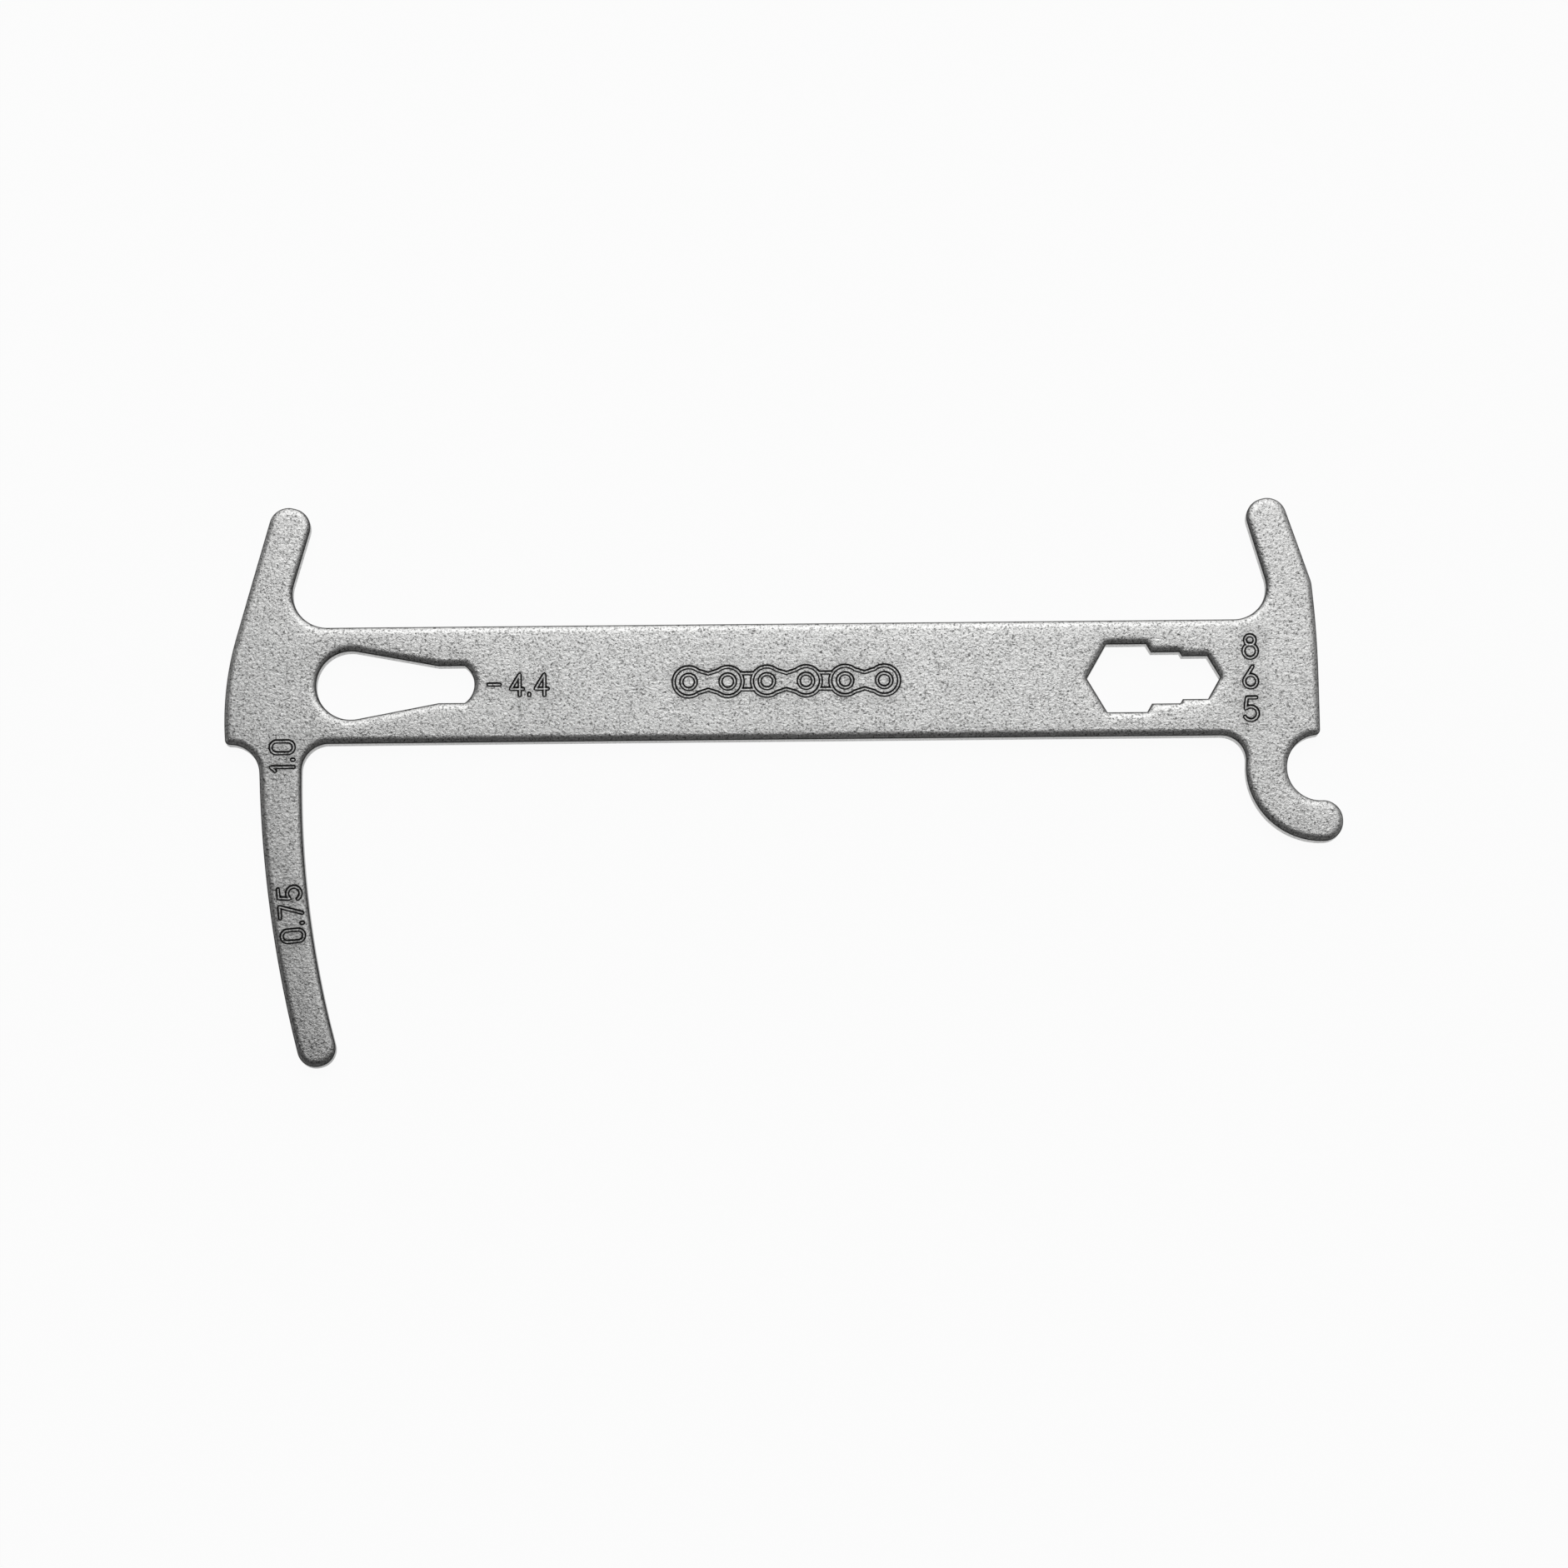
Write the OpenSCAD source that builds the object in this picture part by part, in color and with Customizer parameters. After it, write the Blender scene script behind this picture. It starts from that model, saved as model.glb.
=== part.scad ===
/* [Plate] */
// Thickness of the steel plate
plate_t = 2; // [1.6:0.1:2.2]
// Width of the straight bar
bar_w = 13.9; // [12.5:0.1:15]
// Height of the lower edge of the bar above the centre of the roller seat
bar_rise = 3.92; // [3.6:0.02:4.5]
// Width of the rolled edge that blanking leaves on the front face
roll_w = 0.9; // [0.4:0.05:0.9]
// Depth of the rolled edge below the front face
roll_d = 0.45; // [0.2:0.05:0.6]

/* [Chain] */
// Pitch of the chain that is measured
chain_pitch = 12.7; // [12.6:0.05:12.8]
// Pitches from the roller in the seat to the roller on the cam
pitch_count = 10; // [8:1:12]
// Diameter of a chain roller
roller_d = 7.75; // [7.5:0.05:8]
// Play of a roller in the seat, across its diameter
seat_play = 0.05; // [0:0.05:0.2]

/* [Cam] */
// Stretch in percent that the root of the cam measures
root_stretch = 1; // [0.9:0.05:1.2]
// Stretch in percent that the middle of the cam measures
mid_stretch = 0.75; // [0.5:0.05:0.85]
// Angle from the bar to the place on the cam that measures the root stretch
root_angle = 0.5; // [0:0.1:1]
// Angle from the bar to the place on the cam that measures the middle stretch
mid_angle = 7.7; // [6:0.1:9]
// Radius of the measuring flank
flank_r = 150; // [140:1:170]
// Radius of the inner flank
inner_r = 120.1; // [115:0.1:150]
// Width of the cam at its root
cam_root_w = 4.9; // [4:0.1:6]
// Width of the cam at its tip
cam_tip_w = 4.5; // [4.4:0.1:5.2]
// Depth of the cam tip below the centre of the roller seat
cam_drop = 34.1; // [28:0.1:38]
// Radius of the corners of the cam tip
cam_tip_r = 2.15; // [1:0.05:2.15]
// Radius of the fillet between the cam and the left head
cam_outer_fillet = 3.5; // [2.8:0.1:3.5]
// Radius of the fillet between the cam and the bar
cam_inner_fillet = 3.2; // [2:0.1:6]

/* [Hook] */
// Width of the hook round the roller seat
hook_w = 4.85; // [4.8:0.05:6]
// Reach of the hook past the centre of the roller seat
hook_reach = 2.5; // [2.4:0.1:4]
// Radius of the corners of the hook tip
hook_tip_r = 2.35; // [1:0.05:2.35]
// Radius of the fillet between the bar and the hook
hook_fillet = 2.9; // [2:0.1:5]
// Radius of the corner between the roller seat and the right edge
seat_corner_r = 0.7; // [0.4:0.1:1]

/* [Right head] */
// Reach of the right edge past the centre of the roller seat
edge_reach = 0.1; // [-0.4:0.1:1]
// Radius of the right edge above the bar's centre line
edge_r = 120.6; // [80:0.2:160]
// Distance of the tip centre of the right prong from the right edge
right_tip_x = 5.6; // [5:0.1:7]
// Height of the tip centre of the right prong above the bar
right_tip_rise = 12.2; // [11:0.1:16]
// Lean of the right prong's outer side
right_outer_lean = 18; // [16:0.5:20]
// Lean of the right prong's inner side
right_inner_lean = 15.7; // [12:0.1:18]
// Width of the right prong at its tip
right_tip_w = 4.8; // [4.75:0.05:5.5]
// Radius of the blend where the right edge becomes the prong
right_blend_r = 3; // [2:0.5:6]
// Radius of the fillet between the bar and the right prong
right_fillet = 3.9; // [2:0.1:5]

/* [Left head] */
// Overhang of the left head past the root of the cam
head_overhang = 4.2; // [4.1:0.1:4.6]
// Radius of the left head
head_r = 36.4; // [34:0.2:42]
// Distance of the tip centre of the left prong from the root of the cam
left_tip_x = 3.3; // [3:0.1:5]
// Height of the tip centre of the left prong above the bar
left_tip_rise = 12; // [11:0.1:16]
// Lean of the left prong's outer side
left_outer_lean = 15.5; // [14:0.5:17]
// Lean of the left prong's inner side
left_inner_lean = 16.1; // [14:0.1:18]
// Width of the left prong at its tip
left_tip_w = 4.9; // [4.85:0.05:5.5]
// Radius of the corners of both prong tips
prong_tip_r = 2.3; // [1:0.05:2.3]
// Radius of the fillet between the bar and the left prong
left_fillet = 4.1; // [2:0.1:5]
// Radius of the corner under the left head
head_corner_r = 0.6; // [0.3:0.1:0.6]

/* [Hexagon slot] */
// Nominal size of the large hexagon
hex_large = 8; // [7:0.5:9]
// Nominal size of the middle hexagon
hex_middle = 6; // [5.5:0.5:6.5]
// Nominal size of the small hexagon
hex_small = 5; // [4:0.5:5]
// Play of each hexagon across its flats
hex_play = 0.1; // [0:0.05:0.3]
// Distance from the roller seat to the centre of the large hexagon
hex_x = 22.5; // [20:0.5:30]
// Distance between the centres of the large and middle hexagons
middle_step = 4.5; // [4.2:0.1:4.8]
// Distance between the centres of the middle and small hexagons
small_step = 3.55; // [3.4:0.05:3.8]

/* [Tapered slot] */
// Diameter of the wide end
slot_wide_d = 8.15; // [7:0.05:9]
// Width of the narrow end
slot_narrow_w = 4.4; // [4:0.1:5]
// Distance between the centres of the two ends
slot_len = 11.8; // [11:0.1:16]
// Radius of the narrow end
slot_end_r = 2.7; // [2.65:0.05:4]
// Slope of each tapered side
slot_slope = 10.7; // [10:0.1:14]
// Distance from the root of the cam to the centre of the wide end
slot_x = 10.65; // [9:0.05:16]
// Radius of the corners where the slot changes direction
slot_corner_r = 0.3; // [0.2:0.05:0.4]

/* [Hidden] */
$fn = 96;
// Greatest distance of an outline's straight steps from its true arcs
smooth = 0.01;
// Smallest radius of a corner on an outline that is inset
least_r = 0.05;
// Steps of the rolled edge from the wall to the face
roll_steps = 3;
// Reach of a wall past the back face
past = 0.5;
// Steel that the outline leaves in the roller seat for its round cut
seat_cut = 0.02;

// The roller seat is centred on the sketch's origin, and the chain lies along -X
seat_r = (roller_d + seat_play) / 2;
hook_r = seat_r + hook_w;
bar_low = bar_rise;
bar_mid = bar_low + bar_w / 2;
bar_top = bar_low + bar_w;

// A worn chain rests a roller against the cam's flank at these distances from the seat
root_reach = chain_pitch * pitch_count * (1 + root_stretch / 100) - roller_d / 2;
mid_reach = chain_pitch * pitch_count * (1 + mid_stretch / 100) - roller_d / 2;
flank_c = centre_through(polar(root_reach, 180 + root_angle), polar(mid_reach, 180 + mid_angle), flank_r);
cam_tip_angle = 180 + asin((cam_drop - cam_tip_w / 2) / (mid_reach - cam_tip_w / 2));
tip_reach = reach_to(flank_c, flank_r, cam_tip_angle);
inner_c = centre_through(
    polar(root_reach - cam_root_w, 180 + root_angle),
    polar(tip_reach - cam_tip_w, cam_tip_angle), inner_r);
cam_tip = polar(tip_reach - cam_tip_w / 2, cam_tip_angle);

right_tip = [edge_reach - right_tip_x, bar_top + right_tip_rise];
left_tip = [left_tip_x - root_reach, bar_top + left_tip_rise];
left_end = -root_reach - head_overhang;
left_outer = prong_side(left_tip, left_tip_w, 270 - left_outer_lean);
head_c = head_centre(left_outer, left_end + head_r, head_r);

// Size of each hexagon and its place along the bar
hexagons = [
    [hex_large, -hex_x],
    [hex_middle, middle_step - hex_x],
    [hex_small, middle_step + small_step - hex_x]];
slot_c = [slot_x - root_reach, bar_mid];
slot_end_c = slot_c + [slot_len, 0];

// Vectors and angles
function polar(r, a) = r * [cos(a), sin(a)];
function unit(v) = v / norm(v);
function left_of(a) = [-sin(a), cos(a)];
function heading(v) = atan2(v[1], v[0]);
function wrap(a) = (a % 360 + 360) % 360;

// Centre of the circle of radius r through p and q, on the right of both
function centre_through(p, q, r) =
    let (half = (q - p) / 2)
    p + half + sqrt(r * r - half * half) * left_of(heading(half));

// Distance from the origin to the circle about c, along the angle a
function reach_to(c, r, a) =
    let (u = polar(1, a), along = c * u)
    along + sqrt(r * r - c * c + along * along);

// An edge is a line through p along a, or an arc about c, with the steel on its left.
// An arc's radius is positive where the steel is inside it.
function line(p, a) = ["line", p, a];
function arc(c, r) = ["arc", c, r];
function is_line(e) = e[0] == "line";

// One side of a prong of width w about its tip centre
function prong_side(tip, w, a) = line(tip - w / 2 * left_of(a), a);

// Centre of the head's arc at x, which touches the prong's outer side
function head_centre(side, x, r) =
    let (n = left_of(side[2]))
    [x, side[1][1] + (r - (x - side[1][0]) * n[0]) / n[1]];

// The same edge moved into the steel
function inset(e, d) = is_line(e) ? line(e[1] + d * left_of(e[2]), e[2]) : arc(e[1], e[2] - d);

function foot(e, p) =
    let (u = polar(1, e[2]))
    e[1] + u * ((p - e[1]) * u);

function line_line(e, f) =
    let (u = polar(1, e[2]), v = polar(1, f[2]))
    e[1] + u * cross(f[1] - e[1], v) / cross(u, v);

function line_arc(e, f, crossing) =
    let (near = foot(e, f[1]), half = sqrt(f[2] * f[2] - (near - f[1]) * (near - f[1])))
    near + (crossing == 1 ? -half : half) * polar(1, e[2]);

function arc_arc(e, f, crossing) =
    let (
        span = f[1] - e[1],
        along = (span * span + e[2] * e[2] - f[2] * f[2]) / (2 * norm(span)),
        across = sqrt(e[2] * e[2] - along * along))
    e[1] + along * unit(span) + (crossing == 1 ? -across : across) * left_of(heading(span));

// Centre of the corner of radius r between two edges, or of the arc where they touch at r = 0
function corner_centre(e, f, r, crossing) =
    let (a = inset(e, r), b = inset(f, r))
    r == 0 ? (is_line(e) ? foot(e, f[1]) : touch(f, e[1]))
    : is_line(a) && is_line(b) ? line_line(a, b)
    : is_line(a) ? line_arc(a, b, crossing)
    : is_line(b) ? line_arc(b, a, crossing)
    : arc_arc(a, b, crossing);

function touch(e, c) = is_line(e) ? foot(e, c) : e[1] + abs(e[2]) * unit(c - e[1]);

// Arc about c from p to q, as centre, radius, both angles, and whether a line follows it
function sweep(c, r, p, q, then_line) =
    let (a = heading(p - c), b = heading(q - c))
    [c, abs(r), a, r > 0 ? a + wrap(b - a) : a - wrap(a - b), then_line];

// The same corner on an outline that is moved into the steel
function inset_corner(r, d) = r == 0 ? 0 : r > 0 ? max(r - d, least_r) : min(r - d, -least_r);

// Every arc of an outline inset by d. Its rows are an edge, the corner after it and its crossing.
function arcs(rows, d = 0) =
    let (
        n = len(rows),
        e = [for (row = rows) inset(row[0], d)],
        r = [for (row = rows) inset_corner(row[1], d)],
        c = [for (i = [0:n - 1]) corner_centre(e[i], e[(i + 1) % n], r[i], rows[i][2])],
        start = [for (i = [0:n - 1]) touch(e[i], c[i])],
        end = [for (i = [0:n - 1]) touch(e[(i + 1) % n], c[i])])
    [for (i = [0:n - 1]) each concat(
        is_line(e[i]) ? [] : [sweep(e[i][1], e[i][2], end[(i + n - 1) % n], start[i], r[i] == 0)],
        r[i] == 0 ? [] : [sweep(c[i], r[i], start[i], end[i], is_line(e[(i + 1) % n]))])];

function along_arc(a, part) = a[0] + polar(a[1], a[2] + (a[3] - a[2]) * part);
function arc_steps(a) = max(2, ceil(abs(a[3] - a[2]) / (2 * acos(1 - min(1, smooth / a[1])))));
function arc_points(a, n) = [for (k = [0:a[4] ? n : n - 1]) along_arc(a, k / n)];

// The cam's fillet touches the flank and the line of the bar's lower edge
cam_fillet_c = corner_centre(line([0, bar_low], 0), arc(flank_c, flank_r), -cam_outer_fillet, 1);

// Outer edge, anticlockwise from the lower edge of the bar
outer_rows = [
    [line([0, bar_low], 0), -hook_fillet, 1],
    [arc([0, 0], hook_r), hook_tip_r, 1],
    [line([hook_reach, 0], 90), hook_tip_r, 1],
    [arc([0, 0], seat_cut - seat_r), seat_corner_r, 2],
    [line([edge_reach, 0], 90), 0, 1],
    [arc([edge_reach - edge_r, bar_mid], edge_r), right_blend_r, 1],
    [prong_side(right_tip, right_tip_w, 90 + right_outer_lean), prong_tip_r, 1],
    [prong_end(right_tip, right_tip_w, (right_outer_lean + right_inner_lean) / 2), prong_tip_r, 1],
    [prong_side(right_tip, right_tip_w, right_inner_lean - 90), -right_fillet, 1],
    [line([0, bar_top], 180), -left_fillet, 1],
    [prong_side(left_tip, left_tip_w, 90 - left_inner_lean), prong_tip_r, 1],
    [prong_end(left_tip, left_tip_w, -(left_outer_lean + left_inner_lean) / 2), prong_tip_r, 1],
    [left_outer, 0, 1],
    [arc(head_c, head_r), head_corner_r, 1],
    [arc(cam_fillet_c, -cam_outer_fillet), 0, 1],
    [arc(flank_c, flank_r), cam_tip_r, 1],
    [line(cam_tip + cam_tip_w / 2 * left_of(cam_tip_angle), cam_tip_angle - 180), cam_tip_r, 1],
    [arc(inner_c, -inner_r), -cam_inner_fillet, 1]];

// Square end of a prong that leans by a, before its corners are rounded
function prong_end(tip, w, a) = line(tip + w / 2 * polar(1, 90 + a), 180 + a);

// Tapered slot, clockwise from the upper side of its narrow end
slot_outline = [
    [line(slot_c + [0, slot_narrow_w / 2], 0), -slot_corner_r, 2],
    [arc(slot_end_c, -slot_end_r), -slot_corner_r, 1],
    [line(slot_c - [0, slot_narrow_w / 2], 180), slot_corner_r, 1],
    [line(slot_c - slot_wide_d / 2 * polar(1, 90 + slot_slope), 180 + slot_slope), 0, 1],
    [arc(slot_c, -slot_wide_d / 2), 0, 1],
    [line(slot_c + slot_wide_d / 2 * polar(1, 90 - slot_slope), -slot_slope), slot_corner_r, 1]];

// Points where an arc may reach furthest along X or Y
function extremes(a) =
    let (low = min(a[2], a[3]), high = max(a[2], a[3]))
    concat(
        [along_arc(a, 0), along_arc(a, 1)],
        [for (k = [ceil(low / 90):floor(high / 90)]) a[0] + polar(a[1], 90 * k)]);

// Middle and size of the outline's bounding box. The plate has its origin in the middle.
outer_reach = [for (a = arcs(outer_rows)) each extremes(a)];
reach_x = [for (p = outer_reach) p[0]];
reach_y = [for (p = outer_reach) p[1]];
centre = [min(reach_x) + max(reach_x), min(reach_y) + max(reach_y)] / 2;
span = [max(reach_x) - min(reach_x), max(reach_y) - min(reach_y)];

// The same outline about the plate's origin
function centred(rows) = [
    for (row = rows)
    let (e = row[0])
    [[e[0], e[1] - centre, e[2]], row[1], row[2]]];

// Points round an outline inset by d, as many as on the outline itself
function ring(rows, d) =
    let (base = arcs(rows), moved = arcs(rows, d))
    [for (i = [0:len(base) - 1]) each arc_points(moved[i], arc_steps(base[i]))];

// Rolled edge from its foot on the wall to the face, as inset and height
roll_section = [
    for (k = [0:roll_steps])
    [roll_w * (1 - cos(90 * k / roll_steps)), plate_t - roll_d * (1 - sin(90 * k / roll_steps))]];

// Wall and rolled edge, which go on past both faces
last_step = roll_section[roll_steps] - roll_section[roll_steps - 1];
wall_section = concat(
    [[0, -past]],
    [for (k = [0:roll_steps - 1]) roll_section[k]],
    [roll_section[roll_steps] + last_step]);

// Points at the height z
function level(points, z) = [for (p = points) [p[0], p[1], z]];

// Clockwise hexagon by its size across the flats, with two corners along X
function hexagon(size) = [for (k = [0:5]) polar(size / 2 / cos(30), -60 * k)];

// Solid through one ring above another. The turn is 1 anticlockwise and -1 clockwise.
module loft(rings, turn) {
    n = len(rings[0]);
    m = len(rings);
    base = [for (i = [0:n - 1]) i];
    top = [for (i = [n - 1:-1:0]) (m - 1) * n + i];
    sides = [for (j = [0:m - 2]) for (i = [0:n - 1])
        [j * n + i, (j + 1) * n + i, (j + 1) * n + (i + 1) % n, j * n + (i + 1) % n]];
    faces = concat([base, top], sides);
    polyhedron(
        [for (r = rings) each r],
        turn > 0 ? faces : [for (f = faces) [for (i = [len(f) - 1:-1:0]) f[i]]]);
}

// Plate without its openings
module outer_body() {
    intersection() {
        loft([for (s = wall_section) level(ring(centred(outer_rows), s[0]), s[1])], 1);
        translate([0, 0, plate_t / 2]) cube([2 * span[0], 2 * span[1], plate_t], center = true);
    }
}

// Openings
module slot_cutter() {
    loft([for (s = wall_section) level(ring(centred(slot_outline), s[0]), s[1])], -1);
}

module hexagon_cutter(size) {
    loft([for (s = wall_section) level(hexagon(size + 2 * s[0]), s[1])], -1);
}

module seat_cutter() {
    side = [for (s = wall_section) [seat_r + s[0], s[1]]];
    rotate_extrude() polygon(concat([[0, -past]], side, [[0, side[len(side) - 1][1]]]));
}

module gauge_plate() {
    color("silver") difference() {
        outer_body();
        translate(-centre) seat_cutter();
        slot_cutter();
        for (h = hexagons) translate([h[1], bar_mid] - centre) hexagon_cutter(h[0] + hex_play);
    }
}

gauge_plate();
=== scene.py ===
import math

import bmesh
import bpy
import numpy as np
from mathutils import Matrix, Vector, geometry


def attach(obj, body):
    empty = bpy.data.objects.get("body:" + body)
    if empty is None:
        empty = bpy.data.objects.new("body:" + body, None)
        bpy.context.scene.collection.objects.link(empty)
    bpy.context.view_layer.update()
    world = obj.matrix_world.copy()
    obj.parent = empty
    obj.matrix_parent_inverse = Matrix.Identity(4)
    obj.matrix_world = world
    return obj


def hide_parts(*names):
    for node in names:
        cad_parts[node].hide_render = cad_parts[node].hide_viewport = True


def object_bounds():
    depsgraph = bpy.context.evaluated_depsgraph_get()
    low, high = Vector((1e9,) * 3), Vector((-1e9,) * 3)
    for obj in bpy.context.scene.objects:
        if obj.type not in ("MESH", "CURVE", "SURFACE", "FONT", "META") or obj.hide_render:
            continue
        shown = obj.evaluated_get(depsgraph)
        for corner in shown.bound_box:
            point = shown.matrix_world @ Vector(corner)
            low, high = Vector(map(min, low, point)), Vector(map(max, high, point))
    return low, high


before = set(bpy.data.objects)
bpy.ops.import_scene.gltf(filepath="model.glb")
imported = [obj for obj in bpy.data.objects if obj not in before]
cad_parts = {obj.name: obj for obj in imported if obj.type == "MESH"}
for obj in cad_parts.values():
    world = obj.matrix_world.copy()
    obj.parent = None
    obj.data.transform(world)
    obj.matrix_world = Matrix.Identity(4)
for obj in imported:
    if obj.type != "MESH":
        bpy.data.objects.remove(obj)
CAD_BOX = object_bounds()
NODE = "gauge_plate"
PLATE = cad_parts[NODE]
MM = 0.001

# Edges of the plate, in mm
ROLL_W = 0.9
ROLL_D = 0.45
ROLL_ROWS = 8
# Width of the painted shade at the rim, and the level of the painted shade on the walls
RIM_W = 0.24
WALL_PAINTED_SHADE = 0.45
SHARP_TURN = 35
SAMPLE_STEP = 0.3
SAMPLE_TURN = 6
FACE_GRID = 1.6

# Stamped marks, in mm
STROKE_DEPTH = 0.13
STROKE_WALL = 0.18
STROKE_WALL_W = 0.12
# Width of the painted shade along the walls of a stroke
STROKE_LINE_W = 0.3
STROKE_STEP = 0.09
STROKE_ROWS = (0.0, 0.06, 0.11, 0.18, 0.25, 0.32)

# Camera solved from the photograph: degrees, mm and pixels
PHOTO = 1882
PHOTO_MM = 10.247
CAMERA_TILT = -9.43
CAMERA_PAN = 0.41
CAMERA_ROLL = 0.619
CAMERA_DISTANCE = 566.4
CAMERA_TARGET = (0.0815, -0.581, 2.0)
SENSOR = 36.0

# Light, as the direction it comes from and the brightness along it
LIGHT_FROM = (0.3, 0.954, 0.0)
LIGHT_STOPS = ((-0.05, 0.02), (0.16, 0.6), (0.35, 1.0))
SIDE_STOPS = ((0.3, 1.0), (0.75, 0.12))
HORIZON_STOPS = ((0.3, 0.38), (0.54, 0.07))
# Painted shade in the steel's colour, darker toward the cam's tip: direction, where it ends in metres, and its
# level
SHADE_ALONG = (-0.5, -0.87, 0.0)
SHADE_END = 0.055
SHADE_LEVEL = 0.73
WORLD_STRENGTH = 1.0
FLOOR_GLOW = 0.95


def polar(r, degrees):
    a = math.radians(degrees)
    return np.array((r * math.cos(a), r * math.sin(a)))


# Outline of the plate, read from the back face of the CAD node
def outline_loops(mesh):
    scale = 1 / MM
    points = [(round(v.co.x * scale, 4), round(v.co.y * scale, 4), v.co.z * scale) for v in mesh.vertices]
    low = min(p[2] for p in points)
    onward = {}
    for polygon in mesh.polygons:
        corners = [points[i] for i in polygon.vertices]
        if max(c[2] for c in corners) > low + 0.001:
            continue
        flat = [c[:2] for c in corners]
        for a, b in zip(flat, flat[1:] + flat[:1]):
            if (b, a) in onward:
                del onward[(b, a)]
            else:
                onward[(a, b)] = True
    follows = {b: a for a, b in onward}
    loops = []
    while follows:
        start = next(iter(follows))
        loop = [start]
        while follows[loop[-1]] != start:
            loop.append(follows[loop[-1]])
        for p in loop:
            del follows[p]
        loops.append(np.array(loop))
    return loops


# Smooth curve through an outline's points, which keeps its sharp corners
def smooth_loop(points):
    edges = np.roll(points, -1, axis=0) - points
    lengths = np.linalg.norm(edges, axis=1)
    ahead = edges / lengths[:, None]
    behind = np.roll(ahead, 1, axis=0)
    behind_length = np.roll(lengths, 1)
    turn = np.degrees(np.arccos(np.clip((ahead * behind).sum(1), -1, 1)))
    blend = ahead * lengths[:, None] + behind * behind_length[:, None]
    blend /= np.linalg.norm(blend, axis=1)[:, None]
    sharp = turn > SHARP_TURN
    leave = np.where(sharp[:, None], ahead, blend)
    arrive = np.where(sharp[:, None], behind, blend)
    samples = []
    for i, p in enumerate(points):
        j = (i + 1) % len(points)
        q, length = points[j], lengths[i]
        u, v = leave[i], arrive[j]
        bend = math.degrees(math.acos(max(-1, min(1, float(u @ v)))))
        steps = max(1, math.ceil(length / SAMPLE_STEP), math.ceil(bend / SAMPLE_TURN))
        for k in range(steps):
            t = k / steps
            h = 2 * t**3 - 3 * t**2 + 1
            samples.append(
                h * p + (t**3 - 2 * t**2 + t) * length * u + (1 - h) * q + (t**3 - t**2) * length * v)
    return np.array(samples)


# Distance from each point to a set of segments
def distance_to(points, starts, ends):
    best = np.full(len(points), 1e9)
    for a, b in zip(starts, ends):
        d = b - a
        t = np.clip(((points - a) @ d) / max(1e-12, float(d @ d)), 0, 1)
        best = np.minimum(best, np.linalg.norm(points - a - t[:, None] * d, axis=1))
    return best


def inside(points, loops):
    result = np.zeros(len(points), bool)
    for loop in loops:
        for a, b in zip(loop, np.roll(loop, -1, axis=0)):
            crosses = (a[1] > points[:, 1]) != (b[1] > points[:, 1])
            if crosses.any():
                x = a[0] + (points[:, 1] - a[1]) * (b[0] - a[0]) / (b[1] - a[1] + 1e-30)
                result ^= crosses & (points[:, 0] < x)
    return result


# Depth of the rolled edge at a distance from the wall
def roll_depth(d):
    t = np.clip(1 - d / ROLL_W, 0, 1)
    return ROLL_D * (1 - np.sqrt(1 - t * t))


# Depth of a stamped stroke at a distance from its middle line
def stroke_depth(d):
    t = np.clip((STROKE_WALL - d) / STROKE_WALL_W + 0.5, 0, 1)
    return STROKE_DEPTH * t * t * (3 - 2 * t)


# Painted shade along the sheared rim and on the walls of a stroke, as darkness from 0 to 1
def painted_shade(to_wall, to_stroke):
    rim = np.clip(1.7 * (1 - to_wall / RIM_W), 0, 1)
    line = np.clip(2.5 * (1 - np.abs(to_stroke - STROKE_WALL) / (STROKE_LINE_W / 2)), 0, 1)
    return np.maximum(rim, line)


# Strokes of plain numerals in a box 1 high, with the baseline at 0
def arc(cx, cy, rx, ry, a0, a1):
    steps = max(4, math.ceil(abs(a1 - a0) / 10))
    return [
        (cx + rx * math.cos(math.radians(a)), cy + ry * math.sin(math.radians(a)))
        for a in (a0 + (a1 - a0) * k / steps for k in range(steps + 1))]


NUMERALS = {
    "0": (0.52, [arc(0.26, 0.74, 0.26, 0.26, 0, 180) + arc(0.26, 0.26, 0.26, 0.26, 180, 360) + [(0.52, 0.74)]]),
    "1": (0.2, [[(0.0, 0.8), (0.17, 1.0), (0.17, 0.0)]]),
    "5": (0.58, [[(0.54, 1.0), (0.13, 1.0), (0.07, 0.56)] + arc(0.29, 0.3, 0.3, 0.3, 138, -150)]),
    "6": (0.6, [arc(0.3, 0.3, 0.3, 0.3, 160, 520), [(0.018, 0.4), (0.4, 1.0)]]),
    "7": (0.52, [[(0.0, 1.0), (0.52, 1.0), (0.16, 0.0)]]),
    "8": (0.58, [arc(0.29, 0.3, 0.29, 0.3, 90, 450), arc(0.29, 0.79, 0.21, 0.21, 90, 450)]),
    ".": (0.06, [[(0.03, 0.0), (0.03, 0.07)]]),
    "4": (0.58, [[(0.42, 0.0), (0.42, 1.0), (0.0, 0.3), (0.58, 0.3)]]),
}
NUMERAL_GAP = 0.26


# Strokes of a plain number, from its lower left corner
def number(text, corner, height, degrees=0):
    along, up = polar(1, degrees), polar(1, degrees + 90)
    strokes, x = [], 0.0
    for sign in text:
        width, lines = NUMERALS[sign]
        for one in lines:
            strokes.append(np.array([np.array(corner) + height * ((x + u) * along + v * up) for u, v in one]))
        x += width + NUMERAL_GAP
    return strokes


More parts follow.
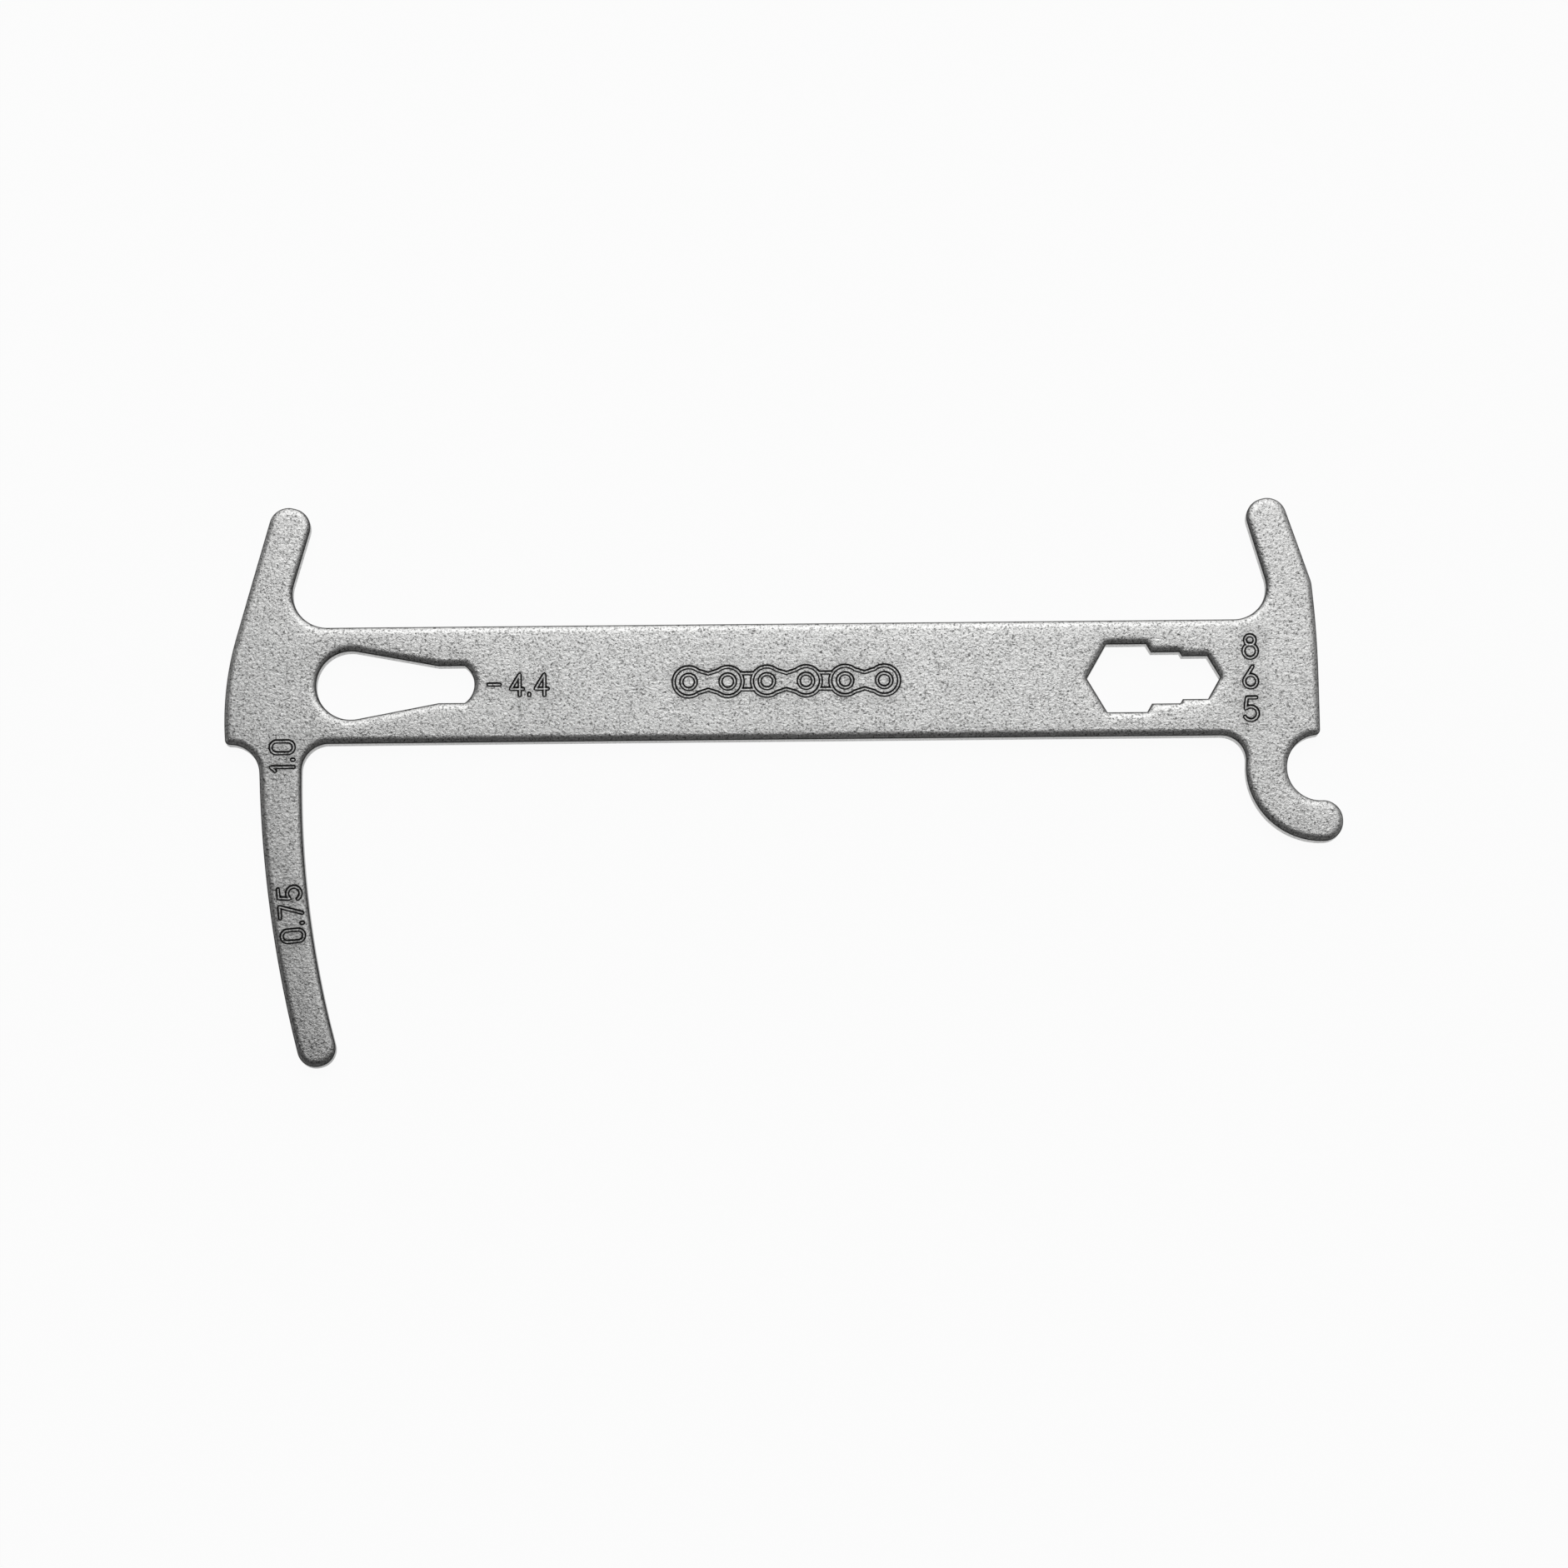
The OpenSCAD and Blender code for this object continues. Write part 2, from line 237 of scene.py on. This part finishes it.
# Row of plain chain links as a generic ornament
def chain_links(start, pitch, count, pin_r, end_r):
    strokes = []
    for k in range(count + 1):
        c = np.array(start) + (k * pitch, 0)
        strokes.append(np.array([c + polar(pin_r, a) for a in range(0, 361, 15)]))
    for k in range(0, count):
        a = np.array(start) + (k * pitch, 0)
        b = a + (pitch, 0)
        waist = end_r * 0.55
        left = [a + polar(end_r, t) for t in range(50, 311, 10)]
        right = [b + polar(end_r, t) for t in range(230, 491, 10)]
        if k % 2 == 0:
            low = [(a + b) / 2 + (0, -waist)]
            high = [(a + b) / 2 + (0, waist)]
            strokes.append(np.array(left + low + right + high + left[:1]))
        else:
            for side in (-1, 1):
                x0 = math.sqrt(end_r * end_r - waist * waist)
                strokes.append(np.array([a + (x0, side * waist), b + (-x0, side * waist)]))
    return strokes


def marks():
    strokes = []
    strokes += number("8", (54.35, 13.95), 2.7)
    strokes += number("6", (54.35, 10.4), 2.5)
    strokes += number("5", (54.25, 6.5), 2.7)
    strokes += number("1.0", (-57.35, 1.55), 2.7, 90)
    strokes += number("0.75", (-55.96, -18.5), 2.6, 95)
    strokes.append(np.array([(-34.5, 11.6), (-33.2, 11.6)]))
    strokes += number("4.4", (-31.9, 10.3), 2.5)
    strokes += chain_links((-11.0, 11.7), 4.6, 5, 0.85, 1.75)
    return strokes


# Points along a polyline at an even step
def along_stroke(stroke, step):
    points = []
    for a, b in zip(stroke, stroke[1:]):
        n = max(1, math.ceil(np.linalg.norm(b - a) / step))
        points += [a + (b - a) * k / n for k in range(n)]
    return np.array(points + [stroke[-1]])


def stroke_points(strokes):
    starts = np.concatenate([s[:-1] for s in strokes])
    ends = np.concatenate([s[1:] for s in strokes])
    rows = []
    for stroke in strokes:
        middle = along_stroke(stroke, STROKE_STEP)
        slope = np.gradient(middle, axis=0)
        normal = np.stack((-slope[:, 1], slope[:, 0]), axis=1)
        normal /= np.linalg.norm(normal, axis=1)[:, None] + 1e-12
        for d in STROKE_ROWS:
            for side in ((1,) if d == 0 else (1, -1)):
                rows.append((middle + side * d * normal, d))
            for tip, way in ((middle[0], -slope[0]), (middle[-1], slope[-1])):
                facing = math.degrees(math.atan2(way[1], way[0]))
                rows.append((np.array([tip + polar(d, facing + a) for a in (-60, -30, 0, 30, 60)]), d))
    kept = [p[distance_to(p, starts, ends) > d - 0.004] for p, d in rows]
    return np.concatenate(kept), starts, ends


# Points without near twins
def thinned(points, gap):
    seen, kept = {}, []
    for p in points:
        cell = (math.floor(p[0] / gap), math.floor(p[1] / gap))
        near = (q for i in (-1, 0, 1) for j in (-1, 0, 1) for q in seen.get((cell[0] + i, cell[1] + j), ()))
        if all((p[0] - q[0]) ** 2 + (p[1] - q[1]) ** 2 > gap * gap for q in near):
            seen.setdefault(cell, []).append(p)
            kept.append(p)
    return np.array(kept)


# Triangles of the area inside the loops, through the given points
def triangulate(loops, points):
    every = [tuple(p) for loop in loops for p in loop]
    edges, start = [], 0
    for loop in loops:
        n = len(loop)
        edges += [(start + i, start + (i + 1) % n) for i in range(n)]
        start += n
    every += [tuple(p) for p in points]
    made = geometry.delaunay_2d_cdt([Vector(p) for p in every], edges, [], 0, 1e-6)
    corners = np.array([tuple(v) for v in made[0]])
    triangles = np.array([tuple(f) for f in made[2]])
    middle = corners[triangles].mean(axis=1)
    triangles = triangles[inside(middle, loops)]
    return corners, triangles


def build_plate():
    box = np.array([corner[:2] for corner in CAD_BOX]) / MM
    loops = [np.clip(smooth_loop(loop), box[0], box[1]) for loop in outline_loops(PLATE.data)]
    starts = np.concatenate(loops)
    ends = np.concatenate([np.roll(loop, -1, axis=0) for loop in loops])
    low, high = starts.min(axis=0), starts.max(axis=0)
    top = max(v.co.z for v in PLATE.data.vertices) / MM

    rows = []
    for loop in loops:
        tangent = np.roll(loop, -1, axis=0) - np.roll(loop, 1, axis=0)
        tangent /= np.linalg.norm(tangent, axis=1)[:, None]
        normal = np.stack((-tangent[:, 1], tangent[:, 0]), axis=1)
        if not inside((loop + 0.02 * normal)[:1], loops)[0]:
            normal = -normal
        for k in range(1, ROLL_ROWS + 1):
            d = ROLL_W * (1 - math.cos(math.radians(90 * k / ROLL_ROWS)))
            row = loop + d * normal
            row = row[inside(row, loops)]
            rows.append(row[distance_to(row, starts, ends) > d * 0.985])
    strokes, stroke_starts, stroke_ends = stroke_points(marks())
    grid = np.array([
        (x, y)
        for x in np.arange(low[0], high[0], FACE_GRID)
        for y in np.arange(low[1], high[1], FACE_GRID)])
    grid = grid[inside(grid, loops)]
    grid = grid[distance_to(grid, starts, ends) > ROLL_W + 0.5 * FACE_GRID]
    grid = grid[distance_to(grid, stroke_starts, stroke_ends) > 0.6]
    strokes = thinned(strokes, 0.03)
    rolled = thinned(np.concatenate(rows), 0.012)

    corners, triangles = triangulate(loops, np.concatenate((rolled, strokes, grid)))
    to_wall = distance_to(corners, starts, ends)
    to_stroke = distance_to(corners, stroke_starts, stroke_ends)
    height = top - roll_depth(to_wall) - stroke_depth(to_stroke)

    back_corners, back_triangles = triangulate(loops, np.zeros((0, 2)))
    mesh = bmesh.new()
    front = [mesh.verts.new((x * MM, y * MM, z * MM)) for (x, y), z in zip(corners, height)]
    back = [mesh.verts.new((x * MM, y * MM, 0)) for x, y in back_corners]
    for a, b, c in triangles:
        mesh.faces.new((front[a], front[b], front[c]))
    for a, b, c in back_triangles:
        mesh.faces.new((back[c], back[b], back[a]))
    start = 0
    for loop in loops:
        n = len(loop)
        for i in range(n):
            p, q = start + i, start + (i + 1) % n
            mesh.faces.new((front[p], back[p], back[q], front[q]))
        start += n
    bmesh.ops.recalc_face_normals(mesh, faces=mesh.faces)
    data = bpy.data.meshes.new("plate_surface")
    mesh.to_mesh(data)
    mesh.free()
    paint_shade(data, painted_shade(to_wall, to_stroke), len(triangles), len(starts))
    data.shade_smooth()
    data.set_sharp_from_angle(angle=math.radians(38))
    plate = bpy.data.objects.new("plate_surface", data)
    bpy.context.scene.collection.objects.link(plate)
    print("plate", len(data.vertices), "vertices", len(data.polygons), "faces")
    return plate


# Painted shade as a colour at the corners, with a flat painted shade on the walls: the front's triangles come
# first in the mesh, the walls' quads last
def paint_shade(data, values, front_faces, wall_faces):
    layer = data.color_attributes.new("painted_shade", "FLOAT_COLOR", "CORNER")
    vertex = np.zeros(len(data.loops), int)
    data.loops.foreach_get("vertex_index", vertex)
    dark = np.zeros(len(data.loops))
    dark[:3 * front_faces] = values[vertex[:3 * front_faces]]
    dark[-4 * wall_faces:] = WALL_PAINTED_SHADE
    colours = np.repeat(dark, 4).reshape(-1, 4)
    colours[:, 3] = 1
    layer.data.foreach_set("color", colours.ravel())


def node_of(tree, kind, **values):
    made = tree.nodes.new(kind)
    for name, value in values.items():
        if name in made.inputs:
            made.inputs[name].default_value = value
        else:
            setattr(made, name, value)
    return made


# Tumbled steel with a fine grain, which is mostly in its bumps, and with painted shade in its colour
def steel():
    material = bpy.data.materials.new("tumbled_steel")
    material.use_nodes = True
    tree = material.node_tree
    shader = tree.nodes["Principled BSDF"]
    shader.inputs["Metallic"].default_value = 1.0
    place = node_of(tree, "ShaderNodeTexCoord")
    grain = node_of(tree, "ShaderNodeTexNoise", Scale=4200.0, Detail=3.0, Roughness=0.7)
    pits = node_of(tree, "ShaderNodeTexNoise", Scale=3300.0, Detail=3.0, Roughness=0.65)
    cloud = node_of(tree, "ShaderNodeTexNoise", Scale=160.0, Detail=3.0, Roughness=0.5)
    for texture in (grain, pits, cloud):
        tree.links.new(place.outputs["Object"], texture.inputs["Vector"])

    tone = node_of(tree, "ShaderNodeValToRGB")
    tone.color_ramp.elements[0].position = 0.35
    tone.color_ramp.elements[0].color = (0.12, 0.12, 0.118, 1)
    tone.color_ramp.elements[1].position = 0.46
    tone.color_ramp.elements[1].color = (0.66, 0.66, 0.655, 1)
    bright = tone.color_ramp.elements.new(0.62)
    bright.color = (0.86, 0.86, 0.85, 1)
    tree.links.new(grain.outputs["Fac"], tone.inputs["Fac"])
    # Painted shade: the colour darkens along SHADE_ALONG toward the cam's tip
    along = node_of(tree, "ShaderNodeVectorMath", operation="DOT_PRODUCT")
    along.inputs[1].default_value = SHADE_ALONG
    shade = node_of(tree, "ShaderNodeMapRange")
    shade.inputs["From Max"].default_value = SHADE_END
    shade.inputs["To Min"].default_value = 1.0
    shade.inputs["To Max"].default_value = SHADE_LEVEL
    dimmed = node_of(tree, "ShaderNodeMix", data_type="RGBA", blend_type="MULTIPLY", Factor=1.0)
    tree.links.new(place.outputs["Object"], along.inputs[0])
    tree.links.new(along.outputs["Value"], shade.inputs["Value"])
    tree.links.new(tone.outputs["Color"], dimmed.inputs["A"])
    tree.links.new(shade.outputs["Result"], dimmed.inputs["B"])
    # Painted shade: darkens the colour toward near black at the rim, on the stroke walls and on the plate's
    # walls
    dark = node_of(tree, "ShaderNodeVertexColor", layer_name="painted_shade")
    blend = node_of(tree, "ShaderNodeMix", data_type="RGBA")
    blend.inputs["B"].default_value = (0.02, 0.02, 0.02, 1)
    tree.links.new(dark.outputs["Color"], blend.inputs["Factor"])
    tree.links.new(dimmed.outputs["Result"], blend.inputs["A"])
    tree.links.new(blend.outputs["Result"], shader.inputs["Base Color"])

    rough = node_of(tree, "ShaderNodeMapRange")
    rough.inputs["To Min"].default_value = 0.24
    rough.inputs["To Max"].default_value = 0.36
    tree.links.new(cloud.outputs["Fac"], rough.inputs["Value"])
    tree.links.new(rough.outputs["Result"], shader.inputs["Roughness"])

    bump = node_of(tree, "ShaderNodeBump", Strength=1.0, Distance=0.00005)
    tree.links.new(pits.outputs["Fac"], bump.inputs["Height"])
    tree.links.new(bump.outputs["Normal"], shader.inputs["Normal"])
    return material


def pale_floor():
    size = 3.0
    data = bpy.data.meshes.new("floor")
    data.from_pydata(
        [(-size, -size, 0), (size, -size, 0), (size, size, 0), (-size, size, 0)], [], [(0, 1, 2, 3)])
    floor = bpy.data.objects.new("floor", data)
    floor.location.z = -0.00002
    bpy.context.scene.collection.objects.link(floor)
    material = bpy.data.materials.new("floor")
    material.use_nodes = True
    tree = material.node_tree
    shader = tree.nodes["Principled BSDF"]
    shader.inputs["Base Color"].default_value = (0.9, 0.9, 0.9, 1)
    shader.inputs["Roughness"].default_value = 0.9
    shader.inputs["Specular IOR Level"].default_value = 0.1
    seen = node_of(tree, "ShaderNodeLightPath")
    glow = node_of(tree, "ShaderNodeEmission", Color=(1, 1, 1, 1), Strength=1.0)
    mix = node_of(tree, "ShaderNodeMixShader")
    direct = node_of(tree, "ShaderNodeMath", operation="MAXIMUM")
    every = node_of(tree, "ShaderNodeMath", operation="MAXIMUM")
    share = node_of(tree, "ShaderNodeMath", operation="MULTIPLY")
    share.inputs[1].default_value = FLOOR_GLOW
    tree.links.new(seen.outputs["Is Camera Ray"], direct.inputs[0])
    tree.links.new(seen.outputs["Is Glossy Ray"], direct.inputs[1])
    tree.links.new(direct.outputs[0], every.inputs[0])
    tree.links.new(seen.outputs["Is Transmission Ray"], every.inputs[1])
    tree.links.new(every.outputs[0], share.inputs[0])
    tree.links.new(share.outputs[0], mix.inputs["Fac"])
    tree.links.new(shader.outputs["BSDF"], mix.inputs[1])
    tree.links.new(glow.outputs["Emission"], mix.inputs[2])
    tree.links.new(mix.outputs["Shader"], tree.nodes["Material Output"].inputs["Surface"])
    data.materials.append(material)


# Grey ramp through the given places and levels
def level_ramp(tree, stops):
    ramp = node_of(tree, "ShaderNodeValToRGB")
    elements = ramp.color_ramp.elements
    for k, (at, level) in enumerate(stops):
        element = elements[k] if k < 2 else elements.new(at)
        element.position = at
        element.color = (level, level, level, 1)
    return ramp


# World with one large bright window, dark beside it, and grey walls round the horizon
def studio_world():
    world = bpy.data.worlds.new("studio")
    bpy.context.scene.world = world
    world.use_nodes = True
    tree = world.node_tree
    place = node_of(tree, "ShaderNodeTexCoord")
    along = node_of(tree, "ShaderNodeVectorMath", operation="DOT_PRODUCT")
    along.inputs[1].default_value = LIGHT_FROM
    spread = node_of(tree, "ShaderNodeMapRange")
    spread.inputs["From Min"].default_value = -1.0
    ramp = level_ramp(tree, [((at + 1) / 2, level) for at, level in LIGHT_STOPS])
    parts = node_of(tree, "ShaderNodeSeparateXYZ")
    across = node_of(tree, "ShaderNodeMath", operation="ABSOLUTE")
    sides = level_ramp(tree, SIDE_STOPS)
    both = node_of(tree, "ShaderNodeMix", data_type="RGBA", blend_type="MULTIPLY", Factor=1.0)
    tree.links.new(place.outputs["Generated"], along.inputs[0])
    tree.links.new(along.outputs["Value"], spread.inputs["Value"])
    tree.links.new(spread.outputs["Result"], ramp.inputs["Fac"])
    tree.links.new(place.outputs["Generated"], parts.inputs["Vector"])
    tree.links.new(parts.outputs["X"], across.inputs[0])
    tree.links.new(across.outputs[0], sides.inputs["Fac"])
    tree.links.new(ramp.outputs["Color"], both.inputs["A"])
    tree.links.new(sides.outputs["Color"], both.inputs["B"])
    walls = level_ramp(tree, HORIZON_STOPS)
    whole = node_of(tree, "ShaderNodeMix", data_type="RGBA", blend_type="LIGHTEN", Factor=1.0)
    tree.links.new(parts.outputs["Z"], walls.inputs["Fac"])
    tree.links.new(both.outputs["Result"], whole.inputs["A"])
    tree.links.new(walls.outputs["Color"], whole.inputs["B"])
    tree.links.new(whole.outputs["Result"], tree.nodes["Background"].inputs["Color"])
    tree.nodes["Background"].inputs["Strength"].default_value = WORLD_STRENGTH


def area_light(name, place, aim, size, watts):
    data = bpy.data.lights.new(name, "AREA")
    data.shape = "SQUARE"
    data.size = size
    data.energy = watts
    lamp = bpy.data.objects.new(name, data)
    lamp.location = place
    lamp.rotation_euler = (Vector(aim) - Vector(place)).to_track_quat("-Z", "Y").to_euler()
    bpy.context.scene.collection.objects.link(lamp)


def photo_camera():
    tilt = Matrix.Rotation(math.radians(CAMERA_TILT), 3, "X")
    pan = Matrix.Rotation(math.radians(CAMERA_PAN), 3, "Y")
    roll = Matrix.Rotation(math.radians(CAMERA_ROLL), 3, "Z")
    turn = (roll @ tilt @ pan).transposed()
    data = bpy.data.cameras.new("camera")
    data.sensor_width = SENSOR
    data.lens = SENSOR * PHOTO_MM * CAMERA_DISTANCE / PHOTO
    data.clip_start = 0.01
    camera = bpy.data.objects.new("camera", data)
    target = Vector(CAMERA_TARGET) * MM
    place = target + turn @ Vector((0, 0, CAMERA_DISTANCE * MM))
    camera.matrix_world = Matrix.Translation(place) @ turn.to_4x4()
    bpy.context.scene.collection.objects.link(camera)
    bpy.context.scene.camera = camera


photo_camera()
plate = build_plate()
plate.data.materials.append(steel())
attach(plate, "root")
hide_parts(NODE)
pale_floor()
studio_world()
area_light("soft_top", (0.0, 0.35, 0.6), (0, 0, 0), 0.5, 0.5)
bpy.context.scene.view_settings.view_transform = "Standard"
